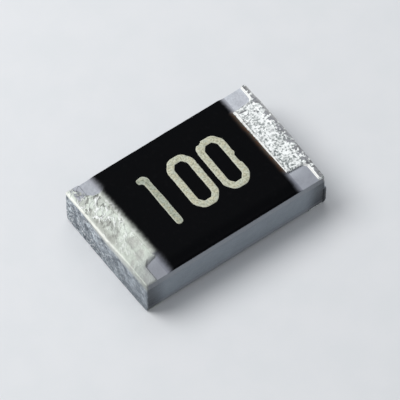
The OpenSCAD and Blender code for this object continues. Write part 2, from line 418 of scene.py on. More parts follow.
def right_tin():
    """White tin: a packed crust of bright grains with dark gaps and short cracks."""
    p = Paint("tin_right", IOR=1.5)
    fine = p.noise(0.020, detail=2.0, rough=0.6)
    broad = p.noise(0.13, detail=1.0)
    gap = (1 - fine - (broad - 0.5) * 0.25).band(0.53, 0.60)
    far = p.axis(1).band(-0.1, 0.35)
    slant = p.stretch((0.5, 1.0, 1.0))
    crack = (1 - p.noise(0.040, detail=2.0, place=slant)).band(0.60, 0.65) * (0.25 + 0.75 * far)
    pale = (fine * 0.7 + p.noise(0.05, detail=1.0) * 0.3).band(0.40, 0.60)
    # Painted light: towards the far side the darker tone is brighter and the dark gaps are fainter
    deep = p.blend(far, (0.48, 0.51, 0.50), (0.66, 0.69, 0.68))
    tone = p.blend(pale, deep, (0.93, 0.95, 0.94))
    tone = p.blend(gap * (0.8 - 0.3 * far), tone, (0.12, 0.14, 0.14))
    tone = p.blend(crack * 0.85, tone, (0.10, 0.10, 0.11))
    return tin_finish(p, tone, (0.95, 0.95, 0.92), fine * 1.2 + broad - crack, 0.0020)


def ceramic_finish():
    """White alumina: fine sintered grain, a little colder and duller in its hollows.

    The snapped flanks are rough, and the laser's scored bands above and below them are
    glazed, a little dark and streaked upright. The flanks carry painted shade all over, more
    towards the chip's ends, and the top face has painted shade at its near side and left end.
    """
    p = Paint("alumina", IOR=1.6)
    grain = p.noise(0.02, detail=3.0, rough=0.6)
    broad = p.noise(0.25, detail=2.0)
    streaks = p.noise(0.02, detail=1.0, place=p.stretch((1.0, 1.0, 0.12)))
    height = p.axis(2).away(MID_Z)
    flank = 1 - height.band(FACE_Z - MID_Z - 0.004, FACE_Z - MID_Z - 0.001)
    scored = height.band(SNAP_HALF - 0.01, SNAP_HALF) * flank
    snapped = flank * (1 - scored)
    tone = p.blend(grain.band(0.35, 0.65), (0.43, 0.45, 0.49), (0.55, 0.575, 0.62))
    tone = p.blend(broad.band(0.4, 0.7) * 0.35, tone, (0.36, 0.375, 0.42))
    tone = p.blend(p.noise(0.15, detail=1.0).band(0.42, 0.62) * 0.5, tone, (0.60, 0.64, 0.69))
    # Painted shade: the top face darker towards its near side and its left end
    near = p.axis(1).band(-0.25, -0.52) * (1 - flank)
    tone = p.blend(near * 0.70, tone, (0.17, 0.18, 0.215))
    left_end = p.axis(0).band(0.0, -0.2) * (1 - flank)
    tone = p.blend(left_end * (0.3 + near * 0.25), tone, (0.21, 0.22, 0.25))
    # Painted shade: the flanks darkened all over, and more towards the chip's ends
    tone = p.blend(flank * 0.85, tone, (0.19, 0.225, 0.26))
    by_end = p.axis(0).away(0.0).band(0.76, 0.98) * flank
    tone = p.blend(by_end * 0.85, tone, (0.045, 0.055, 0.065))
    # Painted shade on the flank beside the right foot
    by_foot = p.axis(0).band(0.935, 0.965) * p.axis(2).band(0.31, 0.25) * flank
    tone = p.blend(by_foot * 0.7, tone, (0.05, 0.055, 0.06))
    tone = p.blend(scored * (0.25 + 0.5 * streaks), tone, (0.27, 0.28, 0.31))
    # Painted shade: the flanks darkest low down at the chip's ends on the near side
    low = p.axis(2).band(0.36, 0.08) * p.axis(1).band(0.1, -0.1)
    tone = p.blend(by_end * low * 0.75, tone, (0.025, 0.03, 0.04))
    relief = grain + broad * 2.0 + snapped * (p.noise(0.06, detail=3.0) * 4.0) + scored * streaks
    p.relief(relief, 0.003)
    return p.set(Base_Color=tone, Roughness=0.5 + grain * 0.25 - scored * 0.12)


def coat_finish():
    """Black coat. Where it thins out it fades to brown on the right pad, to the tin's cream on
    the left one, and to grey on the ceramic."""
    p = Paint("black_coat", IOR=1.45, Specular_IOR_Level=0.04)
    thin, metal = p.shade("thin"), p.shade("metal")
    wobble = p.noise(0.03, detail=2.0)
    edge = (thin + (wobble - 0.5) * 0.25).band(0.05, 1.0)
    cloud = p.noise(0.05).band(0.55, 0.75)
    deep = p.blend(cloud, (0.0012, 0.0014, 0.0020), (0.0022, 0.0023, 0.0030))
    brown = p.blend(wobble.band(0.42, 0.62), (0.15, 0.125, 0.10), (0.14, 0.075, 0.045))
    right_side = p.axis(0).band(0.0, 0.1)
    cream = p.blend(0.30, foil_tone(p)[0], (0.56, 0.565, 0.52))
    on_pad = p.blend(right_side, cream, brown)
    # Painted shade: over a pad the fringe darkens towards the near side
    on_pad = p.blend(p.axis(1).band(-0.34, -0.42), on_pad, (0.19, 0.195, 0.22))
    edge = edge ** (1.4 + metal * (0.9 - 0.3 * right_side))
    # Painted shade: over ceramic the fringe darkens towards the near side, as the ceramic's top
    # does
    near = p.axis(1).band(-0.25, -0.52) * 0.75
    fringe = p.blend(near, (0.40, 0.41, 0.45), (0.17, 0.18, 0.215))
    fringe = p.blend(metal, fringe, on_pad)
    p.relief(p.noise(0.012, detail=3.0), 0.0010)
    return p.set(Base_Color=p.blend(edge, deep, fringe), Roughness=0.40 + wobble * 0.2)


def ink_finish():
    """Pale khaki ink, a little grainy from the mesh, unevenly laid and starved on the one."""
    p = Paint("pale_ink", IOR=1.45, Specular_IOR_Level=0.25)
    grain = p.noise(0.013, detail=2.0, rough=0.6)
    mottle = p.noise(0.018, detail=3.0, rough=0.65).band(0.37, 0.61)
    warm, cool = p.noise(0.03).band(0.5, 0.66), p.noise(0.04).band(0.5, 0.68)
    starved = p.axis(0).band(-0.12, -0.32)
    tone = p.blend(mottle, (0.335, 0.335, 0.24), (0.595, 0.605, 0.47))
    thin_tone = p.blend(mottle, (0.20, 0.23, 0.175), (0.36, 0.39, 0.31))
    tone = p.blend(starved * 0.8, tone, thin_tone)
    tone = p.blend(p.noise(0.010, detail=1.0).band(0.62, 0.68) * 0.6, tone, (0.16, 0.16, 0.11))
    tone = p.blend(p.shade("rim") * 0.6, tone, (0.66, 0.67, 0.56))
    tone = p.blend(warm * 0.35, tone, (0.58, 0.51, 0.34))
    tone = p.blend(cool * 0.35, tone, (0.46, 0.52, 0.47))
    p.relief(grain, 0.0015)
    return p.set(Base_Color=tone, Roughness=0.75 - grain * 0.15)


def silver_finish():
    """Fired silver, slightly yellow and matte."""
    p = Paint("fired_silver", Metallic=0.9)
    grain = p.noise(0.012, detail=3.0)
    p.relief(grain, 0.002)
    tone = p.blend(grain.band(0.35, 0.65), (0.42, 0.40, 0.35), (0.74, 0.72, 0.66))
    return p.set(Base_Color=tone, Roughness=0.5 + grain * 0.2)


def nickel_finish():
    """Plated nickel, warm and satin."""
    p = Paint("nickel", Metallic=1.0)
    grain = p.noise(0.008, detail=2.0)
    p.relief(grain, 0.0008)
    tone = p.blend(grain.band(0.4, 0.6), (0.44, 0.41, 0.35), (0.58, 0.55, 0.48))
    return p.set(Base_Color=tone, Roughness=0.32 + grain * 0.2)


def end_film_finish():
    """Sputtered film: grey, thin and even."""
    p = Paint("end_film", Metallic=1.0)
    grain = p.noise(0.02, detail=2.0)
    p.relief(grain, 0.0008)
    tone = p.blend(grain.band(0.4, 0.6), (0.30, 0.30, 0.31), (0.40, 0.40, 0.41))
    return p.set(Base_Color=tone, Roughness=0.4 + grain * 0.2)


def resistive_finish():
    """Ruthenium film: near black with a grey metallic grain."""
    p = Paint("resistive_film", Metallic=0.2)
    grain = p.noise(0.01, detail=3.0)
    p.relief(grain, 0.0015)
    tone = p.blend(grain.band(0.35, 0.65), (0.018, 0.018, 0.02), (0.06, 0.06, 0.065))
    return p.set(Base_Color=tone, Roughness=0.55 + grain * 0.2)


def undercoat_finish():
    """Greenish fired glass with fine bubbles."""
    p = Paint("undercoat_glass", IOR=1.55, Coat_Weight=0.4)
    bubbles = p.cells(0.03).band(0.1, 0.3)
    p.relief(bubbles, 0.0015)
    tone = p.blend(bubbles, (0.30, 0.42, 0.34), (0.17, 0.27, 0.21))
    return p.set(Base_Color=tone, Roughness=0.22 + p.noise(0.05) * 0.15)


def floor_finish():
    """Plain pale card."""
    p = Paint("pale_card", Specular_IOR_Level=0.1)
    fibre = p.noise(0.4, detail=3.0)
    tone = p.blend(fibre.band(0.3, 0.7), (0.72, 0.735, 0.75), (0.74, 0.75, 0.765))
    return p.set(Base_Color=tone, Roughness=0.9)


# ---------------------------------------- tin terminals

# The outside radius of the metal's fold, and its rise over bare ceramic and over a pad
FOLD = 0.014
BARE_RISE = END_BUILD
PAD_RISE = PAD_HIGH[2] - FACE_Z + PLATING

# The pads with their plating, from near side to far side, and how far in from those sides
# the metal over them is level
TOP_PAD = (PAD_LOW[1] - PLATING, PAD_HIGH[1] + PLATING)
SOLE_PAD = (SOLE_LOW[1] - PLATING, SOLE_HIGH[1] + PLATING)
PAD_SIDE = 0.009

# Underneath: the reach of the full-width rim and of the pad, and the ease and web beside it
SOLE_RIM = 0.19
SOLE_REACH = CHIP_END - abs(TIN_HIGH[0])
SOLE_EASE = 0.04
SOLE_WEB = 0.03

# Columns across the chip, and rows for each stretch of the profile
COLUMNS = 271
STRETCHES = (30, 8, 44, 10, 68)
SOLE, LOWER_FOLD, END_FACE, UPPER_FOLD, TOP = range(5)

# The last share of a face's rows, over which the metal's edge drops to the ceramic
DROP = 0.12

# The end's bow dies away over this stretch inward, and downward its belly sets in between
# these heights
BOW_RUN = 0.08
BELLY_START, BELLY_FULL = 0.31, 0.26


@dataclass
class End:
    """What one terminal has of its own.

    Rims, bow and belly are given from the near long edge to the far one, and functions take
    a place across the chip.
    """

    side: int  # which end of the chip, as the sign of X
    rims: tuple  # reach of the full-width rim
    rag: float  # unevenness of the rim
    pad_reach: float  # reach over the pad
    lip_place: float  # where the pad's lip is raised and burnished, with a painted highlight
    web: float  # size of the web of tin between the rim and the pad's side
    ease: float  # how gently the metal by the fold climbs the pad's side
    toe: float  # how far the pad's near side runs out over the ceramic
    bow: tuple  # how far the end stands out
    belly: tuple  # how much further its lower part does
    lines: tuple  # strength of the fold's line, the rim edge's and the pad lip's: their shape, burnish and painted highlight; the second also sets the painted shade along the fold
    thin: object  # where the rim is only a wash
    clear: object  # how far inward that wash ends
    seed: int


LEFT_END = End(
    side=-1, rims=(0.118, 0.118), rag=0.006, pad_reach=0.320, lip_place=0.3,
    web=0.06, ease=0.11, toe=0.06, bow=(-0.004, 0.009, 0.017), belly=(0.0, 0.0, 0.0),
    lines=(1.0, 0.0, 0.0),
    thin=lambda y: smooth(0.44, 0.475, y),
    clear=lambda y: 0.125 - 0.45 * (y - 0.46),
    seed=11,
)
RIGHT_END = End(
    side=1, rims=(0.057, 0.052), rag=0.0015, pad_reach=0.288, lip_place=0.264,
    web=0.042, ease=0.04, toe=0.0, bow=(-0.002, 0.006, -0.006), belly=(0.024, 0.014, 0.008),
    lines=(0.4, 1.0, 1.0),
    thin=lambda y: 0 * y,
    clear=lambda y: 1 + 0 * y,
    seed=23,
)


def steps(*stretches):
    """Rows for consecutive stretches: two columns that say which stretch each row is on, and
    how far along it."""
    which = np.concatenate([np.full(n, k) for k, n in enumerate(stretches)])
    part = np.concatenate([np.linspace(0, 1, n, endpoint=False) for n in stretches])
    return which[:, None], part[:, None]


def within(y, span):
    """How far a place lies inside the nearer end of a span."""
    return np.minimum(y - span[0], span[1] - y)


def ridge(x, middle, half):
    """A bell that is 1 at the middle and a third at half a width away."""
    return np.exp(-(((x - middle) / half) ** 2))


def across_end(y, values):
    """Straight lines through values at the near edge, the middle and the far edge."""
    return np.interp(y, (-FACE_SIDE, 0, FACE_SIDE), values)


def rim_reach(y, rim, pad, cut):
    """How far the full-width rim reaches in: the rim, and a slanted web of tin in the corner
    where it meets the pad's side, which runs out `cut` away."""
    web = np.clip(1 - np.abs(within(y, pad)) / cut, 0, 1)
    return rim + cut * (0.8 * web + 0.2 * web**4)


def fold_rise(y, pad, ease):
    """Rise of the metal at the fold: bare, or over the pad with the end film under it."""
    return BARE_RISE + (PAD_RISE - BARE_RISE + FILM_THICK) * smooth(-ease, PAD_SIDE, within(y, pad))


def lapped_face(y, part, reach, shelf, pad, lap, ease, toe=0.0):
    """One face of a terminal: inward distance and height above the ceramic.

    Each column runs from the fold to `reach` and drops to the ceramic by a quarter round. The
    height is the bare rise beside the pad, eased up to the pad's rise on it, with the end
    film's thickness added as far as `lap`. Past the shelf that the rim makes, the pad's sides
    fall to the ceramic along a quarter round, or at the near side along an S-curve that ends
    `toe` further out.
    """
    inward = FOLD + (reach - FOLD) * np.minimum(part / (1 - DROP), 1)
    low, high = pad
    depth = within(y, pad)
    on_pad = smooth(-ease, PAD_SIDE, depth)
    shoulder = quarter_round(depth / 0.012)
    if toe:
        run = np.clip((inward - shelf) / np.maximum(reach - shelf, 0.01), 0, 1)
        slope = smooth(low - toe, low + 0.012, y)
        slope = slope * (1 - np.minimum(1, 2 - 2 * slope) * run**2)
        shoulder = np.where(y < (low + high) / 2, slope, shoulder)
    past_rim = smooth(shelf - 0.012, shelf + 0.004, inward)
    level = BARE_RISE + (PAD_RISE - BARE_RISE) * on_pad
    film = (1 - smooth(lap, lap + 0.02, inward)) * FILM_THICK * on_pad
    beyond = 0.001 + (PAD_RISE - 0.001) * shoulder
    level = level * (1 - past_rim) + beyond * past_rim + film
    fall = np.clip((part - (1 - DROP)) / DROP, 0, 1)
    level = level * np.sqrt(np.clip(1 - fall**2, 0, 1))
    return inward + 0.004 * np.sin(fall * math.pi / 2), level


def terminal_form(end):
    """The smooth form of one end's tin, as grids that the later steps share.

    Rows run round the chip's end: under it inward to outward, round the lower fold, up the
    end, round the upper fold and inward over the top. Columns run from the near long edge to
    the far one. The end bows along Y, and the lower part has a belly of its own.
    """
    y = np.linspace(-FACE_SIDE, FACE_SIDE, COLUMNS)[None, :]
    zero = 0 * y
    which, part = steps(*STRETCHES)
    wave = 0.003 * crumbs(zero, y, zero + 1, 0.07, end.seed + 9)

    rim = np.interp(y, (-FACE_SIDE, FACE_SIDE), end.rims)
    rim = rim + end.rag * (1 + crumbs(zero, y, zero, 0.05, end.seed))
    shelf = rim_reach(y, rim, TOP_PAD, end.web)
    top_reach = np.where(within(y, TOP_PAD) > 0, end.pad_reach + wave, shelf)
    if end.toe:
        foot = smooth(TOP_PAD[0] - end.toe, TOP_PAD[0] + 0.3 * end.toe, y)
        top_reach = np.where(y < 0.1, shelf + (end.pad_reach + wave - shelf) * foot, top_reach)
    sole_rim = SOLE_RIM + 0.006 * crumbs(zero, y, zero + 2, 0.06, end.seed + 5)
    sole_shelf = rim_reach(y, sole_rim, SOLE_PAD, SOLE_WEB)
    sole_reach = np.where(within(y, SOLE_PAD) > 0, SOLE_REACH + wave, sole_shelf)

    top_in, top_up = lapped_face(
        y, part, top_reach, shelf, TOP_PAD, end.rims[0], end.ease, end.toe
    )
    sole_in, sole_up = lapped_face(
        y, 1 - part, sole_reach, sole_shelf, SOLE_PAD, SOLE_RIM, SOLE_EASE
    )
    depth = within(y, TOP_PAD)
    lip = ridge(top_in, end.lip_place + wave, 0.0055)
    top_up = top_up + 0.002 * end.lines[2] * lip * smooth(0.0, 0.03, depth)
    fold_top = FACE_Z + fold_rise(y, TOP_PAD, end.ease)
    fold_sole = CERAMIC_LOW[2] - fold_rise(y, SOLE_PAD, SOLE_EASE)

    on = [which == stretch for stretch in range(len(STRETCHES))]
    turn = part * math.pi / 2
    inward = np.select(
        on, [sole_in, FOLD * (1 - np.sin(turn)), zero, FOLD * (1 - np.cos(turn)), top_in]
    )
    height = np.select(
        on,
        [
            CERAMIC_LOW[2] - sole_up,
            fold_sole + FOLD * (1 - np.cos(turn)),
            fold_sole + FOLD + (fold_top - fold_sole - 2 * FOLD) * part,
            fold_top - FOLD * (1 - np.sin(turn)),
            FACE_Z + top_up,
        ],
    )
    upright = 1 - smooth(0, SCORE_DEPTH, np.abs(height - MID_Z) - SNAP_HALF)
    width = y * (1 + upright * (CHIP_SIDE / FACE_SIDE - 1))
    stand = across_end(y, end.bow) * smooth(BOW_RUN, 0.0, inward)
    belly = across_end(y, end.belly) * smooth(BOW_RUN, 0.0, inward)
    belly = belly * smooth(BELLY_START, BELLY_FULL, height) * smooth(0.0, 0.03, height)
    along_chip = end.side * (CHIP_END - inward + stand + belly)
    return SimpleNamespace(
        y=y, zero=zero, which=which, on=on, wave=wave, depth=depth, shelf=shelf,
        top_reach=top_reach, top_in=top_in, lip=lip, fold_top=fold_top, inward=inward,
        height=height, stand=stand, belly=belly,
        points=np.stack([along_chip, width + 0 * inward, height], -1),
    )


def add_lines(end, form):
    """Adds to the form where its lines run: the fold's with a soft shoulder of painted highlight
    down the end and a bead that swells it, and the one along the rim's edge."""
    y = form.y
    form.from_fold = form.inward - (form.fold_top - form.height)
    form.wander = 0.006 * crumbs(form.zero, y, form.zero + 4, 0.16, end.seed + 40)
    off = form.from_fold - form.wander
    form.fold = ridge(form.from_fold, form.wander, np.where(off < 0, 0.020, 0.012))
    # A soft shoulder of painted highlight down the end
    form.shoulder = np.interp(y, (-0.60, -0.45, -0.20, 0.10, 0.35), (0.05, 0.13, 0.52, 0.35, 0.0))
    form.shoulder = form.shoulder * smooth(-0.115, -0.060, off)
    form.shoulder = form.shoulder * smooth(0.014, -0.004, form.from_fold)
    bead = np.interp(y, (-0.30, 0.0, 0.30, FACE_SIDE), (0.0, 0.012, 0.010, 0.009)) * end.lines[0]
    bead = bead * smooth(-0.055, -0.015, form.from_fold)
    form.bead = bead * smooth(0.030, 0.0, form.from_fold)
    rim = smooth(0.019, 0.009, form.top_reach - form.top_in) * smooth(0.004, -0.004, form.depth)
    form.rim = rim * form.on[TOP] * smooth(-0.606, -0.578, y)


def terminal_skins(end, form):
    """Outer and inner grids of points: the form with its nodules, grit and swollen lines, and
    the same stepped inward by most of the tin. At both long edges the outer one drops by an
    S-curve, and the inner one hems in the metal beneath."""
    out = normals(form.points)
    facing = np.sign(out[len(form.which) // 2, COLUMNS // 2, 0] * end.side)
    out = out * facing
    x, y, z = np.moveaxis(form.points, -1, 0)
    nodules = crumbs(x, y, z, 0.045, end.seed + 20) * 0.0022
    grit = np.maximum(lumps(x, y, z, 0.016, end.seed + 30), -0.2) * 0.0009
    calm = 1 - 0.8 * end.lines[1] * np.maximum(form.rim, form.lip * form.on[TOP])
    swell = (nodules + grit) * calm + end.lines[0] * 0.0015 * form.fold
    swell = np.where(form.on[SOLE] | form.on[LOWER_FOLD], -np.abs(swell) * 0.5, swell)

    edgeward = np.abs(form.y) / FACE_SIDE
    drop = 0.005 * smooth(0.975, 1.0, edgeward) ** 2
    form.hem = edgeward > 0.999
    outer = form.points + out * (swell - drop)[..., None]
    outer[..., 0] += end.side * form.bead
    outer[..., 1] += np.sign(form.y) * 0.0015 * form.hem
    deep = np.where(form.hem, END_BUILD + 0.001 - drop, TIN_THICK * 0.85)
    inner = outer - out * deep[..., None]
    inner[..., 0] -= end.side * (form.stand + form.belly + form.bead) * form.hem
    return outer, inner


def terminal_wear(end, form):
    """The numbers that place burnish with painted highlights, washes, and painted shade along the
    fold, beside the lip and towards the near side on the tin, by name.
    """
    y, zero, inward, top_in, on = form.y, form.zero, form.inward, form.top_in, form.on
    on_top = on[TOP]

    # The fold's line: burnish with a painted highlight, broken up and fading towards the near side
    broken = 0.95 + 0.40 * crumbs(zero, y, zero + 5, 0.05, end.seed + 41)
    broken = broken * (0.10 + 0.90 * smooth(-0.50, 0.15, y))
    fold = form.fold * (form.which > LOWER_FOLD)
    fold = end.lines[0] * np.maximum(fold * broken, form.shoulder)
    lip = form.lip * smooth(-0.004, 0.004, form.depth) * on_top
    edge = fold + end.lines[1] * form.rim + end.lines[2] * lip

    # Painted shade: a dark line beside the pad's lip
    groove_shade = ridge(top_in, end.lip_place + form.wave - 0.014, 0.005)
    groove_shade = groove_shade * smooth(0.0, 0.02, form.depth) * on_top * end.lines[2]
    groove_shade = groove_shade * (0.5 + 0.7 * lumps(zero, y, zero + 8, 0.03, end.seed + 42))

    # Painted shade: a grey band along the fold
    shade = 0.080 + 0.014 * crumbs(zero, y, zero + 9, 0.10, end.seed + 44)
    fold_shade = smooth(shade, 0.010, inward) * (on[UPPER_FOLD] | on_top)
    fold_shade = fold_shade * (1 - form.rim) * end.lines[1]

    below = (form.fold_top - form.height + form.wander) / (0.45 + 0.55 * smooth(0.40, 0.10, y))
    face = on[END_FACE] * smooth(0.035, 0.115, below) + on[LOWER_FOLD] * 1.0

    ended = end.clear(y) + 0.012 * crumbs(top_in, y, zero + 6, 0.05, end.seed + 43)
    wash = end.thin(y) * smooth(0.020, 0.045, inward) * on_top
    wash = wash * (1 + smooth(-0.012, 0.012, top_in - ended))

    # Painted shade on the top towards the near side, at the left pad's near side and edge
    beyond = smooth(form.shelf - 0.02, form.shelf + 0.02, top_in) * on_top
    ragged = y - TOP_PAD[0] + 0.010 * crumbs(top_in, y, zero + 3, 0.05, 61)
    near_side_shade = smooth(0.03, -end.toe, ragged) * beyond
    near_side_shade = np.maximum(near_side_shade, 0.35 * smooth(-0.30, -0.48, y))
    by_edge = smooth(0.045, 0.0, form.top_reach - top_in) * smooth(-0.38, -0.46, y)
    near_side_shade = near_side_shade + (1 - near_side_shade) * 0.6 * by_edge
    near_side_shade = near_side_shade * on_top * (end.toe > 0)

    low_edge = 0.55 * (on[LOWER_FOLD] | on[END_FACE])
    foot_edge = form.hem * np.maximum(low_edge, form.belly / max(*end.belly, 1e-6))
    shades = dict(
        edge=np.clip(edge, 0, 1), groove_shade=np.clip(groove_shade, 0, 1), fold_shade=fold_shade, face=face,
        wash=wash, near_side_shade=near_side_shade, foot_edge=foot_edge,
    )
    return {label: twice(shade + 0 * inward) for label, shade in shades.items()}


def terminal(name, node, material, end):
    """A folded skin of tin over one end of the chip: the form, its relief and its wear."""
    form = terminal_form(end)
    add_lines(end, form)
    verts, faces = sleeve(*terminal_skins(end, form))
    return piece(name, verts, faces, material, (node,), "tin", **terminal_wear(end, form))


# ---------------------------------------- black coat

# Where the coat's ends lie on bare ceramic at the middle of the chip, and where they would
# lie there on a pad
COAT_LEFT, COAT_RIGHT = -0.768, 0.757
COAT_LEFT_ON_PAD, COAT_RIGHT_ON_PAD = -0.778, 0.7345

# The share of a profile at each end along which its points crowd towards that end, and how
# far the coat lies clear of what it covers
CROWDED = 0.06
COAT_CLEAR = 0.0005


def black_coat(material):
    """The coat: profiles along the chip, one for each place across it.

    Each rises from a wavy edge, runs level and falls the same way: by an S-curve on the
    ceramic, and by a quarter ellipse on a pad, where it starts at the metal's level. Towards
    its far and near edges it sags by an S-curve, and it rounds off there.
    """
    part = np.concatenate([
        CROWDED * (1 - np.cos(np.linspace(0, math.pi / 2, 20, endpoint=False))),
        np.linspace(CROWDED, 1 - CROWDED, 100, endpoint=False),
        1 - CROWDED * (1 - np.cos(np.linspace(math.pi / 2, 0, 21))),
    ])[:, None]
    v = np.linspace(-1, 1, 221)[None, :]
    y = v * FACE_SIDE
    zero = 0 * y
    edgeward = np.abs(v)
    pad = smooth(-0.02, 0.02, within(y, TOP_PAD))
    left = COAT_LEFT - 0.016 * y + pad * (COAT_LEFT_ON_PAD - COAT_LEFT - 0.022 * y)
    left = left + 0.004 * crumbs(zero, y, zero, 0.06, 41) + 0.003 * crumbs(zero, y, zero, 0.02, 42)
    right = COAT_RIGHT + pad * (COAT_RIGHT_ON_PAD - COAT_RIGHT - 0.020 * y)
    right = right + 0.004 * crumbs(zero, y, zero + 3, 0.08, 43)
    run = 0.085 - 0.025 * pad
    x = left + (right - left) * part
    rise_left = np.clip((x - left) / run, 0, 1)
    rise_right = np.clip((right - x) / run, 0, 1)
    rise = np.minimum(rise_left, rise_right)
    dome = quarter_round(rise) * pad + smooth(0.0, 1.0, rise) * (1 - pad)
    on_metal = FACE_Z + COAT_CLEAR + pad * (PAD_RISE - 2 * COAT_CLEAR)
    base = np.where(rise_left < 1, on_metal, FACE_Z + COAT_CLEAR)
    sag = 0.022 * smooth(0.74, 1.0, edgeward) ** 1.5
    top = COAT_Z - sag + 0.0006 * crumbs(x, y, zero, 0.2, 44)
    height = base + (top - base) * dome
    height = height - 0.012 * dome * (1 - quarter_round((1 - edgeward) / 0.03))
    bulge = smooth(0.03, 0.08, x) * smooth(0.17, 0.12, x) * smooth(0.97, 1.0, v)
    ragged = edgeward**12 * np.sign(v) * crumbs(x, y, zero, 0.05, 45)
    out = y + 0.003 * bulge + 0.002 * ragged
    upper = np.stack([x, out, np.maximum(height, FACE_Z + 0.0004)], -1)
    lower = np.stack([x, y + 0 * x, np.full(x.shape, FACE_Z + 0.0002)], -1)
    verts, faces = sleeve(upper, lower)
    feather = 0.085 + pad * (0.010 - 0.008 * smooth(0.0, 0.1, x))
    feather = feather + 0.008 * crumbs(zero, y, zero + 6, 0.1, 46)
    thin = np.clip(1 - np.minimum(x - left, right - x) / feather, 0, 1)
    return piece(
        "black_overcoat_skin", verts, faces, material, ("black_overcoat",), "black_coat",
        thin=twice(thin), metal=twice(pad + 0 * x),
    )


# ---------------------------------------- printed marking

# The numerals: their height, half-way line, stroke and spacing, the middle one's place, the
# width of a zero and what its corners are cut by, and the rounding of corners
DIGIT_HEIGHT = INK_HIGH[1] - INK_LOW[1] - 0.006
DIGIT_MID = (INK_HIGH[1] + INK_LOW[1]) / 2 + 0.008
STROKE = 0.072
PITCH = 0.345
MIDDLE = -0.019
ZERO_WIDTH = 0.288
ZERO_CUT = (0.055, 0.07)
ZERO_ROUND = 0.026
ONE_ROUND = 0.062
INK_SINK = 0.001  # how far the ink reaches into the coat


def along(corners_xy, radius, closed, gap=0.004):
    """Points every `gap` along a polyline whose corners are cut and rounded.

    Each corner is replaced by a quadratic curve between the points `radius` before and after it.
    """
    pts = np.array(corners_xy, float)
    count = len(pts)
    out = [] if closed else [pts[0]]
    for i in range(count) if closed else range(1, count - 1):
        before, here, after = pts[i - 1], pts[i], pts[(i + 1) % count]
        a = here + (before - here) / np.linalg.norm(before - here) * radius
        b = here + (after - here) / np.linalg.norm(after - here) * radius
        t = np.linspace(0, 1, 9)[:, None]
        out.extend(a * (1 - t) ** 2 + 2 * here * t * (1 - t) + b * t**2)
    out = np.array(out + ([out[0]] if closed else [pts[-1]]))
    length = np.concatenate([[0], np.cumsum(np.linalg.norm(np.diff(out, axis=0), axis=1))])
    s = np.linspace(0, length[-1], int(length[-1] / gap))
    line = np.stack([np.interp(s, length, out[:, k]) for k in (0, 1)], -1)
    return line[:-1] if closed else line


def stroke(line, closed, seed, nick=None, narrow=None):
    """Ink laid along a centre line: a low cushion across it, with ragged sides.

    Its half width is the stroke's times narrow(s), less a circle's run-out at each open end,
    plus crumbs and what nick() adds; its height is the ink's times 1 - t to the eighth, with t
    from -1 to 1 across it.
    """
    if closed:
        tangent = np.roll(line, -1, 0) - np.roll(line, 1, 0)
    else:
        tangent = np.gradient(line, axis=0)
    tangent = tangent / np.linalg.norm(tangent, axis=1, keepdims=True)
    side = np.stack([-tangent[:, 1], tangent[:, 0]], -1)
    step = np.linalg.norm(np.diff(line, axis=0), axis=1).mean()
    s = np.arange(len(line)) * step
    half = STROKE / 2 * (narrow(s) if narrow else np.ones(len(line)))
    if not closed:
        for distance, radius in ((s, STROKE / 5), (s[-1] - s, STROKE / 2)):
            turn = 1 - np.clip(distance / radius, 0, 1)
            half = half * np.sqrt(np.clip(1 - turn**2, 0.0004, 1))
    t = np.sin(np.linspace(-math.pi / 2, math.pi / 2, 15))
    x, y = line.T
    widths = []
    for way, apart in ((-1, 0.0), (1, 5.0)):
        ragged = 0.0035 * crumbs(x, y, apart + 0 * s, 0.03, seed)
        width = half + ragged * (half > 0.01)
        widths.append(width + nick(x, y, side, way) if nick else width)
    reach = np.where(t < 0, widths[0][:, None], widths[1][:, None]) * t
    flat = line[:, None, :] + side[:, None, :] * reach[..., None]
    base = INK_LOW[2] - INK_SINK
    ink = INK_HIGH[2] - base
    lumpy = 0.0008 * crumbs(flat[..., 0], flat[..., 1], 0 * reach, 0.03, seed + 7)
    top = base + (ink + lumpy) * (1 - np.abs(t) ** 8)
    upper = np.concatenate([flat, top[..., None] + 0 * flat[..., :1]], -1)
    lower = np.concatenate([flat, np.full_like(flat[..., :1], base)], -1)
    rim = smooth(0.62, 0.95, np.abs(t)) * (0 * s[:, None] + 1)
    if closed:
        return *ring(upper, lower), np.concatenate([rim, 0 * rim], 1).ravel()
    verts, faces = sleeve(upper.transpose(1, 0, 2), lower.transpose(1, 0, 2))
    return verts, faces, np.concatenate([rim.T, 0 * rim.T]).ravel()


def ring(upper, lower):
    """Closed band from two grids whose rows run round a loop."""
    grid = np.concatenate([upper, lower[:, ::-1]], 1)
    rows, cols = grid.shape[:2]
    index = np.arange(rows * cols).reshape(rows, cols)
    nxt = np.roll(index, -1, 0)
    right = np.roll(index, -1, 1)
    faces = np.stack([index, right, np.roll(nxt, -1, 1), nxt], -1)
    return grid.reshape(-1, 3), faces.reshape(-1, 4)


def zero_line(x):
    """Centre line of a zero: an upright rectangle with cut, rounded corners."""
    w, h = (ZERO_WIDTH - STROKE) / 2, (DIGIT_HEIGHT - STROKE) / 2
    cut_x, cut_y = ZERO_CUT
    pts = [
        (-w, h - cut_y), (-w + cut_x, h), (w - cut_x, h), (w, h - cut_y),
        (w, -h + cut_y), (w - cut_x, -h), (-w + cut_x, -h), (-w, -h + cut_y),
    ]
    return along([(x + a, DIGIT_MID + b) for a, b in pts], ZERO_ROUND, True)


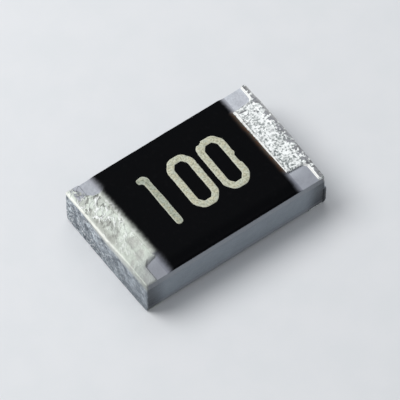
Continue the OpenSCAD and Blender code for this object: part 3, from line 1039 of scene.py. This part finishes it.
def worn_zero(x, y, side, way):
    """Dents in the last zero's print: its right stroke is nibbled outside, below a small burr,
    and its top left corner has a step where two passes of ink don't meet."""
    right = np.where(way * side[:, 0] > 0.5, 1.0, 0.0) * (x > MIDDLE + PITCH)
    dent = -0.014 * smooth(-0.075, -0.045, y) * smooth(0.055, 0.035, y)
    burr = 0.007 * ridge(y, 0.070, 0.016)
    outside = np.where(way * side[:, 0] < -0.2, 1.0, 0.0) * (x < MIDDLE + PITCH)
    step = 0.014 * smooth(0.225, 0.255, y) * smooth(0.287, 0.277, y)
    gap = -0.010 * smooth(0.281, 0.290, y) * smooth(0.325, 0.305, y)
    return right * (dent + burr) + outside * (step + gap)


def squared_one(x, y, side, way):
    """Fills out the shoulder of the one, where its flag turns into its stem."""
    return (way > 0) * 0.017 * smooth(0.72, 1.0, side @ np.array([0.707, 0.707]))


def marking(material):
    """The three numerals 1 0 0, as one piece."""
    top = DIGIT_MID + DIGIT_HEIGHT / 2
    one_x = MIDDLE - PITCH
    pts = [
        (one_x - 0.086, top - 0.035), (one_x - 0.012, top - 0.033),
        (one_x - 0.004, top - 0.13), (one_x, top - DIGIT_HEIGHT),
    ]
    bands = [
        stroke(
            along(pts, ONE_ROUND, False), False, 61, nick=squared_one,
            narrow=lambda s: 0.80 + 0.14 * smooth(0.0, 0.07, s) + 0.10 * smooth(0.15, 0.45, s),
        ),
        stroke(zero_line(MIDDLE), True, 63),
        stroke(zero_line(MIDDLE + PITCH), True, 67, nick=worn_zero),
    ]
    verts, faces, rims, start = [], [], [], 0
    for points, quads, rim in bands:
        faces.append(turned_out(points, quads) + start)
        verts.append(points)
        rims.append(rim)
        start += len(points)
    return piece(
        "value_marking_ink", np.concatenate(verts), np.concatenate(faces), material,
        ("value_marking",), "ink", rim=np.concatenate(rims),
    )


# ---------------------------------------- room, light and camera

# The lamps and the camera, with angles in degrees as towards() takes them
KEY_LAMP = dict(azimuth=-138, elevation=54, distance=30, size=20, power=0.0063)
BACK_LAMP = dict(azimuth=150, elevation=60, distance=34, size=26, power=0.0016)
ROOM_TINT = (0.93, 0.96, 1.0, 1.0)
ROOM_STRENGTH = 0.42
FLOOR_HALF = 60.0

CAMERA_AZIMUTH = -36.15
CAMERA_ELEVATION = 58.5
CAMERA_ROLL = 0.43
CAMERA_DISTANCE = 40.0
CAMERA_LENS = 393.48
CAMERA_SENSOR = 36
CHIP_MID_HEIGHT = 0.25
AIM_RIGHT, AIM_UP = 0.0348, -0.0357  # the aim's offsets from the chip's middle, as framed


def stage_floor(material):
    """A wide level card under the chip."""
    half = FLOOR_HALF
    verts = np.array([(-half, -half, 0), (half, -half, 0), (half, half, 0), (-half, half, 0)])
    mesh = bpy.data.meshes.new("floor")
    mesh.from_pydata((verts * MM).tolist(), [], [(0, 1, 2, 3)])
    mesh.materials.append(material)
    obj = bpy.data.objects.new("floor", mesh)
    bpy.context.collection.objects.link(obj)


def towards(azimuth, elevation):
    """Direction from the chip to a lamp or camera."""
    a, e = math.radians(azimuth), math.radians(elevation)
    return Vector((math.sin(a) * math.cos(e), -math.cos(a) * math.cos(e), math.sin(e)))


def lamp(name, azimuth, elevation, distance, size, power):
    """A round soft light aimed at the chip."""
    back = towards(azimuth, elevation)
    data = bpy.data.lights.new(name, "AREA")
    data.shape = "DISK"
    data.size = size * MM
    data.energy = power
    obj = bpy.data.objects.new(name, data)
    obj.location = back * distance * MM
    obj.rotation_euler = back.to_track_quat("Z", "Y").to_euler()
    bpy.context.collection.objects.link(obj)


def world_light():
    """Even pale light from all round."""
    world = bpy.data.worlds.new("room")
    bpy.context.scene.world = world
    world.use_nodes = True
    shade = world.node_tree.nodes["Background"]
    shade.inputs["Color"].default_value = ROOM_TINT
    shade.inputs["Strength"].default_value = ROOM_STRENGTH


def stand_camera():
    """A long lens high over the chip's left end and near side."""
    azimuth, roll = math.radians(CAMERA_AZIMUTH), math.radians(CAMERA_ROLL)
    distance = CAMERA_DISTANCE * MM
    back = towards(CAMERA_AZIMUTH, CAMERA_ELEVATION)
    right = Vector((math.cos(azimuth), math.sin(azimuth), 0))
    up = back.cross(right)
    c, s = math.cos(roll), math.sin(roll)
    right, up = c * right + s * up, c * up - s * right
    chip_mid = Vector((0, 0, CHIP_MID_HEIGHT * MM))
    aim = chip_mid + right * AIM_RIGHT * MM + up * AIM_UP * MM
    data = bpy.data.cameras.new("camera")
    data.sensor_width = CAMERA_SENSOR
    data.lens = CAMERA_LENS
    data.clip_start = 1 * MM
    data.clip_end = 1000 * MM
    obj = bpy.data.objects.new("camera", data)
    obj.matrix_world = Matrix((
        (right.x, up.x, back.x, aim.x + back.x * distance),
        (right.y, up.y, back.y, aim.y + back.y * distance),
        (right.z, up.z, back.z, aim.z + back.z * distance),
        (0, 0, 0, 1),
    ))
    bpy.context.collection.objects.link(obj)
    bpy.context.scene.camera = obj


# ---------------------------------------- the whole


def dress(material, *nodes):
    """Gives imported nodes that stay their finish."""
    for node in nodes:
        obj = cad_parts[node]
        obj.data.materials.clear()
        obj.data.materials.append(material)


def build():
    """Makes the room, dresses the nodes and adds the detailed skins."""
    bpy.context.scene.view_settings.view_transform = "Standard"
    stand_camera()
    world_light()
    lamp("key", **KEY_LAMP)
    lamp("back", **BACK_LAMP)
    stage_floor(floor_finish())

    dress(
        silver_finish(), "top_electrode_left", "top_electrode_right",
        "bottom_electrode_left", "bottom_electrode_right",
    )
    dress(nickel_finish(), "nickel_barrier_left", "nickel_barrier_right")
    dress(end_film_finish(), "end_film_left", "end_film_right")
    dress(ceramic_finish(), "ceramic_substrate")
    dress(resistive_finish(), "resistive_film")
    dress(undercoat_finish(), "glass_undercoat")
    terminal("tin_left_skin", "tin_plating_left", left_tin(), LEFT_END)
    terminal("tin_right_skin", "tin_plating_right", right_tin(), RIGHT_END)
    black_coat(coat_finish())
    marking(ink_finish())


build()
